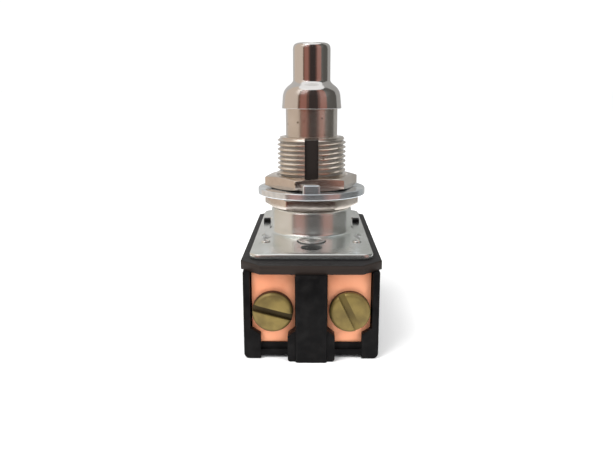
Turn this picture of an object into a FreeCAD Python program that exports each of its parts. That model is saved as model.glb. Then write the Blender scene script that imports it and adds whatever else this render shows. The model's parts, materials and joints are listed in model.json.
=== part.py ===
"""Panel-mounting industrial push button with a double-break contact block.

Frame: +Z up along the plunger, +Y to the rear of the block, origin under the plunger axis on the
plane that the block's feet stand on. The front pair of wire terminals faces -Y. Millimetres.
"""
import FreeCAD, Part
import Sketcher
import math
import os
import re

Vector = FreeCAD.Vector

doc = FreeCAD.newDocument("push_button")

# ------------------------------------------------------------------ driving dimensions
SIZES = {
    # moulded contact block
    "block_width": 27.5, "block_length": 53.6, "block_top": 18.3,
    "side_wall": 1.4, "barrier_width": 6.4, "barrier_reach": 28.8,
    "recess_back": 24.0, "recess_floor": 3.1, "foot_gap": 0.65, "toe_back": 25.6, "toe_step": 1.9,
    "foot_inner": 10.3, "foot_centre": 4.75, "foot_height": 5.3, "foot_chamfer": 1.3,
    "foot_reach": 28.2, "cavity_width": 16.8, "cavity_length": 24.8, "cavity_floor": 2.5,
    # laminated cover
    "cover_width": 28.7, "cover_length": 56.0, "cover_thick": 1.9, "cover_cut": 4.1,
    "cover_hole": 7.5,
    # drawn mounting plate with its collar
    "plate_width": 25.4, "plate_length": 48.2, "plate_thick": 1.2, "plate_round": 2.4,
    "collar_radius": 9.45, "collar_top": 27.2, "collar_fillet": 1.0, "collar_round": 1.2,
    "collar_hole": 7.0,
    # threaded bushing, 5/8-24
    "thread_radius": 7.9375, "bush_top": 43.4, "bush_bottom": 25.0, "bush_bore": 6.0,
    "bush_chamfer": 0.95, "rolled_radius": 7.6, "key_width": 3.0, "key_floor": 6.85,
    "relief": 34.65, "relief_height": 1.0, "relief_radius": 7.33,
    # panel hardware
    "nut_flats": 19.05, "nut_thick": 2.8, "nut_bore": 7.98, "nut_face": 9.3,
    "nut_slope": 0.27, "lower_nut_base": 27.3, "lower_nut_turn": 28.6, "upper_nut_turn": -19.0,
    "washer_radius": 12.5, "washer_bore": 8.05, "washer_thick": 1.5, "washer_base": 30.2,
    "tab_width": 3.9, "tab_inner": 11.2, "tab_rise": 2.1, "tongue_width": 2.8,
    "tongue_tip": 7.1, "nut_gap": 0.1,
    # button cap and plunger sleeve
    "cap_top": 64.1, "nub_radius": 4.24, "nub_round": 1.4, "shoulder_top": 55.5,
    "shoulder_inner": 4.6, "shoulder_outer": 6.62, "shoulder_base": 53.2, "skirt_radius": 6.8,
    "skirt_bottom": 49.7, "cap_wall": 0.5, "sleeve_radius": 5.92, "sleeve_bore": 4.9,
    "sleeve_top": 53.0, "sleeve_end": 23.7, "sleeve_roof": 1.5, "spigot_radius": 3.7,
    "ring_base": 24.1, "ring_thick": 0.8, "ring_radius": 7.0, "groove_radius": 5.4,
    "guide_thick": 1.2, "guide_bore": 2.3,
    # stem and springs
    "stem_radius": 2.2, "stem_head": 4.8, "stem_head_thick": 2.0, "stem_tip": 19.4,
    "over_coil": 3.9, "over_wire": 0.9, "return_coil": 2.0, "return_wire": 0.6,
    "contact_coil": 1.8, "contact_wire": 0.45,
    # contact carrier and bridge
    "carrier_width": 7.2, "carrier_depth": 6.4, "carrier_base": 6.2, "carrier_top": 15.2,
    "post_radius": 2.15, "window_width": 5.4, "window_base": 9.5, "window_top": 14.0,
    "pocket_radius": 2.6, "pocket_top": 8.2, "inner_plate_base": 15.4, "inner_plate_thick": 1.6,
    "inner_plate_width": 16.6, "inner_plate_length": 21.8, "inner_hole": 2.25,
    "bridge_base": 9.6, "bridge_thick": 0.8, "bridge_waist": 5.0, "bridge_width": 15.6,
    "bridge_length": 22.0, "bridge_bar": 3.0,
    # terminals and their contacts
    "copper": 1.2, "blade_inner": 3.3, "blade_outer": 12.1, "strip_inner": 4.0,
    "strip_outer": 8.0, "strip_top": 17.9, "drop_outer": 12.35, "arm_end": 7.5,
    "upper_arm": 11.62, "lower_arm": 5.65, "contact_radius": 1.5, "contact_thick": 0.6,
    "contact_across": 6.0, "contact_along": 9.5,
    # terminal screws, number 8 binding head
    "screw_across": 7.8, "screw_height": 10.1, "screw_head": 4.15, "screw_head_thick": 2.2,
    "screw_shank": 2.04, "screw_length": 7.5, "screw_slot": 1.4, "slot_depth": 0.9,
    # rivets and fixing holes
    "rivet_across": 10.0, "rivet_along": 13.0, "rivet_radius": 0.8, "rivet_head": 1.15,
    "rivet_head_thick": 0.3, "rivet_hollow": 0.4, "disc_along": 12.8, "disc_radius": 3.0,
    "disc_thick": 0.35, "disc_shank": 1.4, "disc_tail": 2.2, "hole_along": 18.4,
    "hole_radius": 2.3,
    # moulded lugs that come up through the plate, and the plate's coined dimples
    "lug_across": 11.1, "lug_along": 8.0, "lug_width": 1.6, "lug_depth": 2.0, "lug_top": 22.2,
    "dimple_across": 10.5, "dimple_along": 7.2, "dimple_reach": 1.4, "dimple_radius": 0.9,
    "dimple_depth": 0.4,
}
sheet = doc.addObject("Spreadsheet::Sheet", "dims")
for row, (alias, number) in enumerate(SIZES.items(), start=1):
    sheet.set(f"A{row}", alias)
    sheet.set(f"B{row}", str(number))
    sheet.setAlias(f"B{row}", alias)
doc.recompute()

WORD = re.compile(r"\b(" + "|".join(sorted(SIZES, key=len, reverse=True)) + r")\b")


def formula(text):
    """A size as an expression on the sheet: every alias in it gets the sheet's name."""
    return WORD.sub(r"dims.\1", str(text))


def number(text):
    """The value of that expression now."""
    return float(sheet.evalExpression(formula(text)))


def bind(thing, **sizes):
    for name, text in sizes.items():
        thing.setExpression(name.replace("__", "."), formula(text))
    return thing


def put(thing, x="0", y="0", z="0"):
    """Places a primitive, each coordinate bound to the sheet."""
    return bind(thing, Placement__Base__x=x, Placement__Base__y=y, Placement__Base__z=z)


# ------------------------------------------------------------------ building blocks
def block(x0, x1, y0, y1, z0, z1):
    """A Part::Box between two corners."""
    box = doc.addObject("Part::Box", "block")
    bind(box, Length=f"({x1})-({x0})", Width=f"({y1})-({y0})", Height=f"({z1})-({z0})")
    return put(box, x0, y0, z0)


def rod(radius, z0, z1, x="0", y="0"):
    """A Part::Cylinder along Z."""
    bar = doc.addObject("Part::Cylinder", "rod")
    bind(bar, Radius=radius, Height=f"({z1})-({z0})")
    return put(bar, x, y, z0)


def rod_along_y(radius, y0, y1, x, z):
    """A Part::Cylinder along +Y."""
    bar = doc.addObject("Part::Cylinder", "rod")
    bind(bar, Radius=radius, Height=f"({y1})-({y0})")
    bar.Placement.Rotation = FreeCAD.Rotation(Vector(1, 0, 0), -90)
    return put(bar, x, y0, z)


def fuse(*shapes):
    union = doc.addObject("Part::MultiFuse", "fuse")
    union.Shapes = list(shapes)
    union.Refine = True
    return union


def cut(base, *tools):
    """base less every tool."""
    result = doc.addObject("Part::Cut", "cut")
    result.Base = base
    result.Tool = tools[0] if len(tools) == 1 else fuse(*tools)
    result.Refine = True
    return result


def common(base, tool):
    result = doc.addObject("Part::Common", "common")
    result.Base = base
    result.Tool = tool
    return result


def group(*shapes):
    """Separate solids in one node."""
    solids = doc.addObject("Part::Compound", "group")
    solids.Links = list(shapes)
    return solids


def rounded(base, radius, wanted):
    """Part::Fillet on the edges of base whose two ends and middle all pass the test."""
    doc.recompute()
    fillet = doc.addObject("Part::Fillet", "fillet")
    fillet.Base = base
    edges = []
    for index, edge in enumerate(base.Shape.Edges, start=1):
        middle = edge.valueAt((edge.FirstParameter + edge.LastParameter) / 2)
        if all(wanted(point) for point in [middle] + [v.Point for v in edge.Vertexes]):
            edges.append((index, radius, radius))
    if not edges:
        raise RuntimeError("no edge passes the fillet's test")
    fillet.Edges = edges
    return fillet


def plane_of(body, role):
    return next(f for f in body.Origin.OriginFeatures if f.Role == role)


def outline(body, name, role, points):
    """A sketch of one closed polygon, every corner held by two dimensions bound to the sheet."""

    sketch = body.newObject("Sketcher::SketchObject", name)
    sketch.AttachmentSupport = [(plane_of(body, role), "")]
    sketch.MapMode = "FlatFace"
    places = [Vector(number(u), number(v), 0) for u, v in points]
    for index, place in enumerate(places):
        following = places[(index + 1) % len(places)]
        sketch.addGeometry(Part.LineSegment(place, following))
    for index in range(len(points)):
        joined = (index + 1) % len(points)
        sketch.addConstraint(Sketcher.Constraint("Coincident", index, 2, joined, 1))
    for index, (u, v) in enumerate(points):
        for kind, text in (("DistanceX", u), ("DistanceY", v)):
            value = number(text)
            place = sketch.addConstraint(Sketcher.Constraint(kind, -1, 1, index, 1, value))
            sketch.setExpression(f"Constraints[{place}]", formula(text))
    return sketch


def turned(name, points):
    """A PartDesign body turned about Z from a half profile of (radius, height) corners."""
    body = doc.addObject("PartDesign::Body", name)
    sketch = outline(body, name + "_profile", "XZ_Plane", points)
    doc.recompute()
    turn = body.newObject("PartDesign::Revolution", name + "_turn")
    turn.Profile = sketch
    turn.ReferenceAxis = (sketch, ["V_Axis"])
    turn.Angle = 360
    return body


def padded(name, role, points, length, middle=True):
    """A PartDesign body padded from one polygon, about its plane or to one side of it."""
    body = doc.addObject("PartDesign::Body", name)
    sketch = outline(body, name + "_outline", role, points)
    doc.recompute()
    pad = body.newObject("PartDesign::Pad", name + "_pad")
    pad.Profile = sketch
    pad.Midplane = middle
    bind(pad, Length=length)
    return body


def coil(radius, wire, base, top, turns):
    """A round-wire compression spring: a circle swept along a helix about Z."""
    helix = doc.addObject("Part::Helix", "helix")
    rise = f"(({top})-({base})-{wire})"
    bind(helix, Radius=radius, Height=rise, Pitch=f"{rise}/{turns}")
    put(helix, z=f"({base})+{wire}/2")
    ring = doc.addObject("Part::Circle", "wire")
    bind(ring, Radius=f"{wire}/2")
    ring.Placement.Rotation = FreeCAD.Rotation(Vector(1, 0, 0), 90)
    put(ring, x=radius, z=f"({base})+{wire}/2")
    doc.recompute()
    spring = doc.addObject("Part::Sweep", "spring")
    spring.Sections = [ring]
    spring.Spine = (helix, [f"Edge{i + 1}" for i in range(len(helix.Shape.Edges))])
    spring.Solid = True
    spring.Frenet = True
    return spring


NODES = []


def node(label, thing):
    """Names a finished sub-part: its Label is its file's name."""
    thing.Label = label
    NODES.append(thing)
    return thing


SIDES = {"left": -1, "right": 1}
ENDS = {"front": -1, "rear": 1}


# ------------------------------------------------------------------ moulded contact block
def contact_block():
    """The black moulded base: terminal recesses at both ends, barriers, feet and the cavity."""
    wide = "block_width/2"
    long = "block_length/2"
    shell = block(f"-{wide}", wide, f"-{long}", long, "0", "block_top")
    added = [shell]
    removed = [
        block("-cavity_width/2", "cavity_width/2", "-cavity_length/2", "cavity_length/2",
              "cavity_floor", "block_top+1")]
    feet = []
    for end in ENDS.values():
        near, far = sorted((f"{end}*20", f"{end}*barrier_reach"), key=number)
        added.append(block("-barrier_width/2", "barrier_width/2", near, far, "0", "block_top"))
        removed.append(rod("hole_radius", "-1", "block_top+1", "0", f"{end}*hole_along"))
        y0, y1 = sorted((f"{end}*cavity_length/2*0.9", f"{end}*15.7"), key=number)
        removed.append(block("-2.7", "2.7", y0, y1, "block_top-1", "block_top+1"))
        for side in SIDES.values():
            # open recess for a terminal, with its chamfered feet
            x0, x1 = sorted((f"{side}*barrier_width/2", f"{side}*({wide}-side_wall)"), key=number)
            y0, y1 = sorted((f"{end}*recess_back", f"{end}*40"), key=number)
            removed.append(block(x0, x1, y0, y1, "recess_floor", "block_top+1"))
            x0, x1 = sorted((f"{side}*foot_centre", f"{side}*foot_inner"), key=number)
            y0, y1 = sorted((f"{end}*recess_back", f"{end}*40"), key=number)
            removed.append(block(x0, x1, y0, y1, "-1", "foot_gap"))
            # the wall under the terminal stands back between the feet, in two steps
            for back, low in (("toe_back", "toe_step"), ("toe_back+0.7", "-1")):
                y0, y1 = sorted((f"{end}*({back})", f"{end}*40"), key=number)
                removed.append(block(x0, x1, y0, y1, low, "recess_floor+0.01"))
            feet.append(foot(side, end, f"({wide}-side_wall)", "foot_inner", long))
            feet.append(foot(side, end, "barrier_width/2", "foot_centre", "foot_reach"))
            # strip channel over the end wall, screw clearance and rivet hole
            x0, x1 = sorted((f"{side}*(strip_inner-0.1)", f"{side}*(strip_outer+0.1)"), key=number)
            y0, y1 = sorted((f"{end}*12", f"{end}*(recess_back+0.7)"), key=number)
            removed.append(block(x0, x1, y0, y1, "strip_top-copper", "block_top+1"))
            y0, y1 = sorted((f"{end}*17", f"{end}*(recess_back+0.7)"), key=number)
            removed.append(
                rod_along_y("screw_shank+0.3", y0, y1, f"{side}*screw_across", "screw_height"))
            place = (f"{side}*rivet_across", f"{end}*rivet_along")
            removed.append(rod("rivet_radius+0.05", "-1", "block_top+1", *place))
            removed.append(rod("rivet_head+0.3", "-1", "1.6", *place))
    ledges = [
        block("-cavity_width/2-0.1", "-cavity_width/2+1", "-5", "5", "inner_plate_base-2",
              "inner_plate_base"),
        block("cavity_width/2-1", "cavity_width/2+0.1", "-5", "5", "inner_plate_base-2",
              "inner_plate_base")]
    lugs = [lug(side, "block_top-1", "lug_top", "0") for side in SIDES.values()]
    block_shape = fuse(cut(fuse(*added), *removed), *feet, *ledges, *lugs)
    front = number("barrier_reach")
    narrow = number("barrier_width") / 2

    def barrier_edge(point):
        """Upright outer corners of both barriers."""
        return abs(abs(point.y) - front) < 0.01 and abs(abs(point.x) - narrow) < 0.01

    def upright_corner(point):
        """Upright outer edges of the block's corners."""
        return (abs(abs(point.x) - number(wide)) < 0.01
                and abs(abs(point.y) - number(long)) < 0.01)

    def lower_edge(point):
        """Lower outer edges along both sides."""
        return abs(abs(point.x) - number(wide)) < 0.01 and point.z < 0.01

    def toe_edge(point):
        """Lower outer edges of the centre feet."""
        return abs(abs(point.x) - number("foot_centre")) < 0.01 and point.z < 0.01

    softened = rounded(block_shape, 0.6, barrier_edge)
    softened = rounded(softened, 1.1, lower_edge)
    softened = rounded(softened, 0.4, upright_corner)
    softened = rounded(softened, 0.6, toe_edge)
    return node("contact_block", softened)


def lug(side, z0, z1, gap):
    """A lug of the block on the rear half of the cover, or with a gap the slot that takes it."""
    x, y = f"{side}*lug_across", "lug_along"
    return block(f"{x}-lug_width/2-{gap}", f"{x}+lug_width/2+{gap}", f"{y}-lug_depth/2-{gap}",
                 f"{y}+lug_depth/2+{gap}", z0, z1)


def foot(side, end, x_near, x_far, reach):
    """One moulded foot beside a terminal, its top sloping away from the wall it stands against."""
    body = doc.addObject("PartDesign::Body", "foot")
    x_near, x_far = f"{side}*{x_near}", f"{side}*{x_far}"
    into = f"{x_near}-({side}*({x_far.split('*')[1]}-{x_near.split('*', 1)[1]}))*0.1"
    tall = "foot_height+foot_chamfer"
    corners = [(into, "0"), (x_far, "0"), (x_far, "foot_height"), (x_near, tall), (into, tall)]
    sketch = outline(body, "foot_outline", "XZ_Plane", corners)
    doc.recompute()
    pad = body.newObject("PartDesign::Pad", "foot_pad")
    pad.Profile = sketch
    bind(pad, Length=f"({reach})-recess_back-copper-0.1")
    # the XZ plane's normal points to -Y, so the front feet pad along it and the rear ones against
    pad.Reversed = end > 0
    body.Placement.Base = Vector(0, end * (number("recess_back+copper") + 0.1), 0)
    return body


# ------------------------------------------------------------------ cover and mounting plate
def cover_plate():
    """Laminated cover with cut corners that overhangs the block."""
    x, y, c = "cover_width/2", "cover_length/2", "cover_cut"
    corners = [(x, f"{y}-{c}"), (f"{x}-{c}", y), (f"{c}-{x}", y), (f"-{x}", f"{y}-{c}"),
               (f"-{x}", f"{c}-{y}"), (f"{c}-{x}", f"-{y}"), (f"{x}-{c}", f"-{y}"),
               (x, f"{c}-{y}")]
    slab = padded("cover_slab", "XY_Plane", corners, "cover_thick", middle=False)
    put(slab, z="block_top")
    holes = [rod("cover_hole", "block_top-1", "block_top+4")]
    for end in ENDS.values():
        holes.append(rod("hole_radius", "block_top-1", "block_top+4", "0", f"{end}*hole_along"))
        holes.append(rod("disc_shank", "block_top-1", "block_top+4", "0", f"{end}*disc_along"))
        for side in SIDES.values():
            holes.append(rod("rivet_radius+0.05", "block_top-1", "block_top+4",
                             f"{side}*rivet_across", f"{end}*rivet_along"))
    holes += [lug(side, "block_top-1", "lug_top+1", "0.06") for side in SIDES.values()]
    drilled = cut(slab, *holes)
    upper = number("block_top+cover_thick")
    half_x, half_y = number("cover_width/2"), number("cover_length/2")
    slant = half_x + half_y - number(c)

    def top_rim(point):
        outer = max(abs(point.x) - half_x, abs(point.y) - half_y,
                    (abs(point.x) + abs(point.y) - slant) / math.sqrt(2))
        return abs(point.z - upper) < 0.01 and abs(outer) < 0.01

    return node("cover_plate", rounded(drilled, 0.25, top_rim))


def dimple(side, z0, z1):
    """The cutters of an oval dimple beside the collar."""
    x = f"{side}*dimple_across"
    near, far = "-dimple_along+dimple_reach", "-dimple_along-dimple_reach"
    return [rod("dimple_radius", z0, z1, x, near), rod("dimple_radius", z0, z1, x, far),
            block(f"{x}-dimple_radius", f"{x}+dimple_radius", far, near, z0, z1)]


def mounting_plate():
    """Plated steel plate with the drawn collar that carries the bushing."""
    base = "(block_top+cover_thick)"
    top = f"({base}+plate_thick)"
    x, y = "plate_width/2", "plate_length/2"
    flat = block(f"-{x}", x, f"-{y}", y, base, top)

    def plate_corner(point):
        return abs(abs(point.x) - number(x)) < 0.01 and abs(abs(point.y) - number(y)) < 0.01

    flat = rounded(flat, number("plate_round"), plate_corner)
    collar = rod("collar_radius", base, "collar_top")
    inner = rod("collar_radius-plate_thick", f"{base}-1", "collar_top-plate_thick")
    holes = [inner, rod("collar_hole", base, "collar_top+1")]
    for end in ENDS.values():
        holes.append(rod("hole_radius", f"{base}-1", f"{top}+1", "0", f"{end}*hole_along"))
        holes.append(rod("disc_shank", f"{base}-1", f"{top}+1", "0", f"{end}*disc_along"))
        for side in SIDES.values():
            holes.append(rod("rivet_radius+0.05", f"{base}-1", f"{top}+1",
                             f"{side}*rivet_across", f"{end}*rivet_along"))
    for end in ENDS.values():
        holes.append(rod("disc_radius+0.02", top, f"{top}+3", "0", f"{end}*disc_along"))
    for side in SIDES.values():
        holes.append(lug(side, f"{base}-1", "lug_top+1", "0.06"))
        holes += dimple(side, f"{top}-dimple_depth", f"{top}+1")
    sheet_metal = fuse(flat, collar)
    wall = number("collar_radius")

    def on_wall(point, level):
        radius = math.hypot(point.x, point.y)
        return abs(radius - wall) < 0.01 and abs(point.z - number(level)) < 0.01

    def rim(point):
        inside = abs(point.x) < number(x) - 0.01 and abs(point.y) < number(y) - 0.01
        return abs(point.z - number(top)) < 0.01 and (not inside or rim_arc(point))

    def rim_arc(point):
        """Points on the rounded corners of the plate."""
        turn = number("plate_round")
        dx, dy = abs(point.x) - number(x) + turn, abs(point.y) - number(y) + turn
        return dx > 0 and dy > 0 and abs(math.hypot(dx, dy) - turn) < 0.01

    formed = rounded(sheet_metal, number("collar_fillet"), lambda p: on_wall(p, top))
    formed = rounded(formed, number("collar_round"), lambda p: on_wall(p, "collar_top"))
    formed = rounded(formed, 0.3, rim)
    return node("mounting_plate", cut(formed, *holes))


# ------------------------------------------------------------------ bushing and panel hardware
def threaded_bushing():
    """Nickel-plated bushing: its tenon is rolled over under the collar, and a keyway runs down it."""
    body = turned("bushing_barrel", [
        ("bush_bore", "bush_bottom"), ("rolled_radius", "bush_bottom"),
        ("rolled_radius", "collar_top-plate_thick"), ("collar_hole", "collar_top-plate_thick"),
        ("collar_hole", "collar_top"), ("thread_radius", "collar_top"),
        ("thread_radius", "relief"), ("relief_radius", "relief"),
        ("relief_radius", "relief+relief_height"), ("thread_radius", "relief+relief_height"),
        ("thread_radius", "bush_top-bush_chamfer"), ("thread_radius-bush_chamfer", "bush_top"),
        ("bush_bore+0.3", "bush_top"), ("bush_bore", "bush_top-0.3")])
    key = block("-key_width/2", "key_width/2", "-thread_radius-1", "-key_floor",
                "collar_top", "bush_top+1")
    return node("threaded_bushing", cut(body, key))


def hex_nut(label, base, turn):
    """Thin panel nut, both faces chamfered."""
    prism = doc.addObject("Part::Prism", "hexagon")
    prism.Polygon = 6
    bind(prism, Circumradius="nut_flats/sqrt(3)", Height="nut_thick")
    # a prism's first corner lies on +X, and the turn is counted from -Y
    prism.Placement.Rotation = FreeCAD.Rotation(Vector(0, 0, 1), number(turn) - 90)
    put(prism, z=base)
    reach, drop = "nut_flats*0.62", "(nut_flats*0.62-nut_face)*nut_slope"
    chamfer = turned("nut_chamfer", [
        ("0", base), ("nut_face", base), (reach, f"{base}+{drop}"),
        (reach, f"{base}+nut_thick-{drop}"), ("nut_face", f"{base}+nut_thick"),
        ("0", f"{base}+nut_thick")])
    hole = rod("nut_bore", f"{base}-1", f"{base}+nut_thick+1")
    return node(label, cut(common(prism, chamfer), hole))


def tab_washer():
    """Locating washer: a tongue rides in the keyway and a bent-up tab locks in the panel."""
    z0, z1 = "washer_base", "washer_base+washer_thick"
    disc = rod("washer_radius", z0, z1)
    tab = block("-tab_width/2", "tab_width/2", "-washer_radius-0.05", "-tab_inner", z0,
                f"{z1}+tab_rise")
    tongue = block("-tongue_width/2", "tongue_width/2", "-washer_bore-0.5", "-tongue_tip", z0, z1)
    ring = cut(disc, rod("washer_bore", f"{z0}-1", f"{z1}+1"))
    washer = fuse(ring, tab, tongue)
    top = number(f"{z1}+tab_rise")

    def tab_top(point):
        return abs(point.z - top) < 0.01

    return node("tab_washer", rounded(washer, 0.5, tab_top))


# ------------------------------------------------------------------ button and plunger
def button_cap():
    """Drawn chrome cap: nub, shoulder and a skirt that shields the sleeve."""
    w = "cap_wall"
    body = turned("cap_shell", [
        ("0", f"cap_top-{w}"), ("0", "cap_top"), ("nub_radius", "cap_top"),
        ("nub_radius", "shoulder_top"), ("shoulder_inner", "shoulder_top"),
        ("shoulder_outer", "shoulder_base"), ("skirt_radius", "skirt_bottom"),
        (f"skirt_radius-{w}", "skirt_bottom"), (f"shoulder_outer-{w}", f"shoulder_base-{w}/2"),
        (f"shoulder_inner-{w}/2", f"shoulder_top-{w}"), (f"nub_radius-{w}", f"shoulder_top-{w}"),
        (f"nub_radius-{w}", f"cap_top-{w}")])

    def brim(point, radius, level):
        return abs(math.hypot(point.x, point.y) - number(radius)) < 0.01 and abs(
            point.z - number(level)) < 0.01

    soft = rounded(body, number("nub_round"), lambda p: brim(p, "nub_radius", "cap_top"))
    soft = rounded(soft, number("nub_round-cap_wall"),
                   lambda p: brim(p, f"nub_radius-{w}", f"cap_top-{w}"))
    soft = rounded(soft, 1.6, lambda p: brim(p, "shoulder_outer", "shoulder_base"))
    return node("button_cap", soft)


def plunger_sleeve():
    """Turned plunger: a tube closed at the top, with the spigot that carries the cap."""
    groove = "groove_radius"
    body = turned("sleeve_tube", [
        ("sleeve_bore", "sleeve_end"), ("sleeve_radius", "sleeve_end"),
        ("sleeve_radius", "ring_base"), (groove, "ring_base"),
        (groove, "ring_base+ring_thick"), ("sleeve_radius", "ring_base+ring_thick"),
        ("sleeve_radius", "sleeve_top"), ("spigot_radius", "sleeve_top"),
        ("spigot_radius", "cap_top-nub_round"),
        ("spigot_radius-nub_round+cap_wall", "cap_top-cap_wall-0.1"),
        ("0", "cap_top-cap_wall-0.1"), ("0", "sleeve_top-sleeve_roof"),
        ("sleeve_bore", "sleeve_top-sleeve_roof")])
    return node("plunger_sleeve", body)


def retaining_ring():
    """Open clip in the sleeve's groove: it stops the plunger under the bushing."""
    z0, z1 = "ring_base", "ring_base+ring_thick"
    ring = cut(rod("ring_radius", z0, z1), rod("groove_radius", f"{z0}-1", f"{z1}+1"))
    gap = block("-1.4", "1.4", "4", "9", f"{z0}-1", f"{z1}+1")
    return node("retaining_ring", cut(ring, gap))


def stem_guide():
    """Bush staked in the sleeve's mouth: it guides the stem and holds its head in."""
    z0, z1 = "sleeve_end", "sleeve_end+guide_thick"
    return node("stem_guide", cut(rod("sleeve_bore", z0, z1), rod("guide_bore", z0, z1)))


def actuator_stem():
    """Headed rod between the overtravel spring and the contact carrier."""
    seat = "sleeve_end+guide_thick+0.1"
    body = turned("stem_bar", [
        ("0", "stem_tip+0.02"), ("stem_radius-0.6", "stem_tip+0.02"),
        ("stem_radius", "stem_tip+0.6"), ("stem_radius", seat), ("stem_head", seat),
        ("stem_head", f"{seat}+stem_head_thick"), ("0", f"{seat}+stem_head_thick")])
    return node("actuator_stem", body)


# ------------------------------------------------------------------ contact mechanism
def contact_carrier():
    """Moulded carrier: a post for the stem, a window for the bridge, a pocket for the spring."""
    x, y = "carrier_width/2", "carrier_depth/2"
    solid = fuse(block(f"-{x}", x, f"-{y}", y, "carrier_base", "carrier_top"),
                 rod("post_radius", "carrier_top-1", "stem_tip"))
    window = block("-window_width/2", "window_width/2", f"-{y}-1", f"{y}+1", "window_base",
                   "window_top")
    pocket = rod("pocket_radius", "carrier_base-1", "pocket_top")
    return node("contact_carrier", cut(solid, window, pocket))


def inner_guide():
    """Insulating plate over the cavity that guides the carrier's post."""
    x, y = "inner_plate_width/2", "inner_plate_length/2"
    z0, z1 = "inner_plate_base", "inner_plate_base+inner_plate_thick"
    plate = block(f"-{x}", x, f"-{y}", y, z0, z1)
    return node("inner_guide_plate", cut(plate, rod("inner_hole", f"{z0}-1", f"{z1}+1")))


def contact_bridge():
    """Sprung copper bridge: a waist through the carrier and a cross bar at each end."""
    w, a, b = "bridge_waist/2", "bridge_width/2", "bridge_length/2"
    inner = "(bridge_length/2-bridge_bar)"
    corners = [(w, f"-{inner}"), (w, inner), (a, inner), (a, b), (f"-{a}", b), (f"-{a}", inner),
               (f"-{w}", inner), (f"-{w}", f"-{inner}"), (f"-{a}", f"-{inner}"), (f"-{a}", f"-{b}"),
               (a, f"-{b}"), (a, f"-{inner}")]
    body = padded("bridge_blade", "XY_Plane", corners, "bridge_thick", middle=False)
    put(body, z="bridge_base")
    return node("contact_bridge", body)


def contact_discs(label, places):
    """Silver contact buttons that share a node."""
    discs = [rod("contact_radius", base, f"{base}+contact_thick", x, y) for x, y, base in places]
    return node(label, group(*discs))


def terminal(end_name, side_name, arm):
    """Copper terminal: the screw's blade, a strip over the end wall, a drop and a contact arm."""
    end, side = ENDS[end_name], SIDES[side_name]
    face, back = "(recess_back+copper)", "recess_back"
    drop, inner = "drop_outer", "(drop_outer-copper)"
    points = [(f"{end}*{face}", "strip_top"), (f"{end}*{inner}", "strip_top"),
              (f"{end}*{inner}", f"{arm}+copper"), (f"{end}*arm_end", f"{arm}+copper"),
              (f"{end}*arm_end", arm), (f"{end}*{drop}", arm),
              (f"{end}*{drop}", "strip_top-copper"), (f"{end}*{face}", "strip_top-copper")]
    strip = padded("strip", "YZ_Plane", points, "strip_outer-strip_inner")
    put(strip, x=f"{side}*(strip_outer+strip_inner)/2")
    x0, x1 = sorted((f"{side}*blade_inner", f"{side}*blade_outer"), key=number)
    y0, y1 = sorted((f"{end}*{back}", f"{end}*{face}"), key=number)
    blade = block(x0, x1, y0, y1, "recess_floor", "strip_top")
    y0, y1 = sorted((f"{end}*({back}-1)", f"{end}*({face}+1)"), key=number)
    hole = rod_along_y("screw_shank+0.04", y0, y1, f"{side}*screw_across", "screw_height")
    return node(f"terminal_{end_name}_{side_name}", cut(fuse(strip, blade), hole))


def terminal_screw(end_name, side_name, slot_angle):
    """Brass binding-head screw with a driver slot."""
    end, side = ENDS[end_name], SIDES[side_name]
    seat = f"{end}*(recess_back+copper+0.02)"
    crown = f"{end}*(recess_back+copper+0.02+screw_head_thick)"
    tip = f"{end}*(recess_back+copper-screw_length)"
    place = (f"{side}*screw_across", "screw_height")
    head = rod_along_y("screw_head", *sorted((seat, crown), key=number), *place)
    shank = rod_along_y("screw_shank", *sorted((tip, crown), key=number), *place)
    crown_y = number(crown)

    def crown_edge(point):
        return abs(point.y - crown_y) < 0.01

    domed = rounded(fuse(head, shank), 0.35, crown_edge)
    slot = doc.addObject("Part::Box", "slot")
    bind(slot, Length="screw_head*2+2", Width="2*slot_depth", Height="screw_slot")
    turn = FreeCAD.Rotation(Vector(0, 1, 0), slot_angle)
    centre = Vector(number(place[0]), crown_y, number(place[1]))
    half = Vector(number("screw_head+1"), number("slot_depth"), number("screw_slot/2"))
    slot.Placement = FreeCAD.Placement(centre - turn.multVec(half), turn)
    return node(f"terminal_screw_{end_name}_{side_name}", cut(domed, slot))


# ------------------------------------------------------------------ rivets
def corner_rivets():
    """Four tubular rivets that clamp plate, cover and block together."""
    top = "(block_top+cover_thick+plate_thick)"
    rivets = []
    for end in ENDS.values():
        for side in SIDES.values():
            place = (f"{side}*rivet_across", f"{end}*rivet_along")
            body = fuse(rod("rivet_radius", "1.6-rivet_head_thick", top, *place),
                        rod("rivet_head", top, f"{top}+rivet_head_thick", *place),
                        rod("rivet_head", "1.6-rivet_head_thick", "1.6", *place))
            hollow = rod("rivet_hollow", f"{top}-2", f"{top}+1", *place)
            rivets.append(cut(body, hollow))
    return node("corner_rivets", group(*rivets))


def disc_rivets():
    """Two wide-headed rivets that hold the mounting plate to the cover."""
    top = "(block_top+cover_thick+plate_thick)"
    rivets = []
    for end in ENDS.values():
        place = ("0", f"{end}*disc_along")
        rivets.append(fuse(
            rod("disc_shank", "block_top-disc_thick", top, *place),
            rod("disc_radius", top, f"{top}+disc_thick", *place),
            rod("disc_tail", "block_top-disc_thick", "block_top", *place)))
    return node("disc_rivets", group(*rivets))


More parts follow.
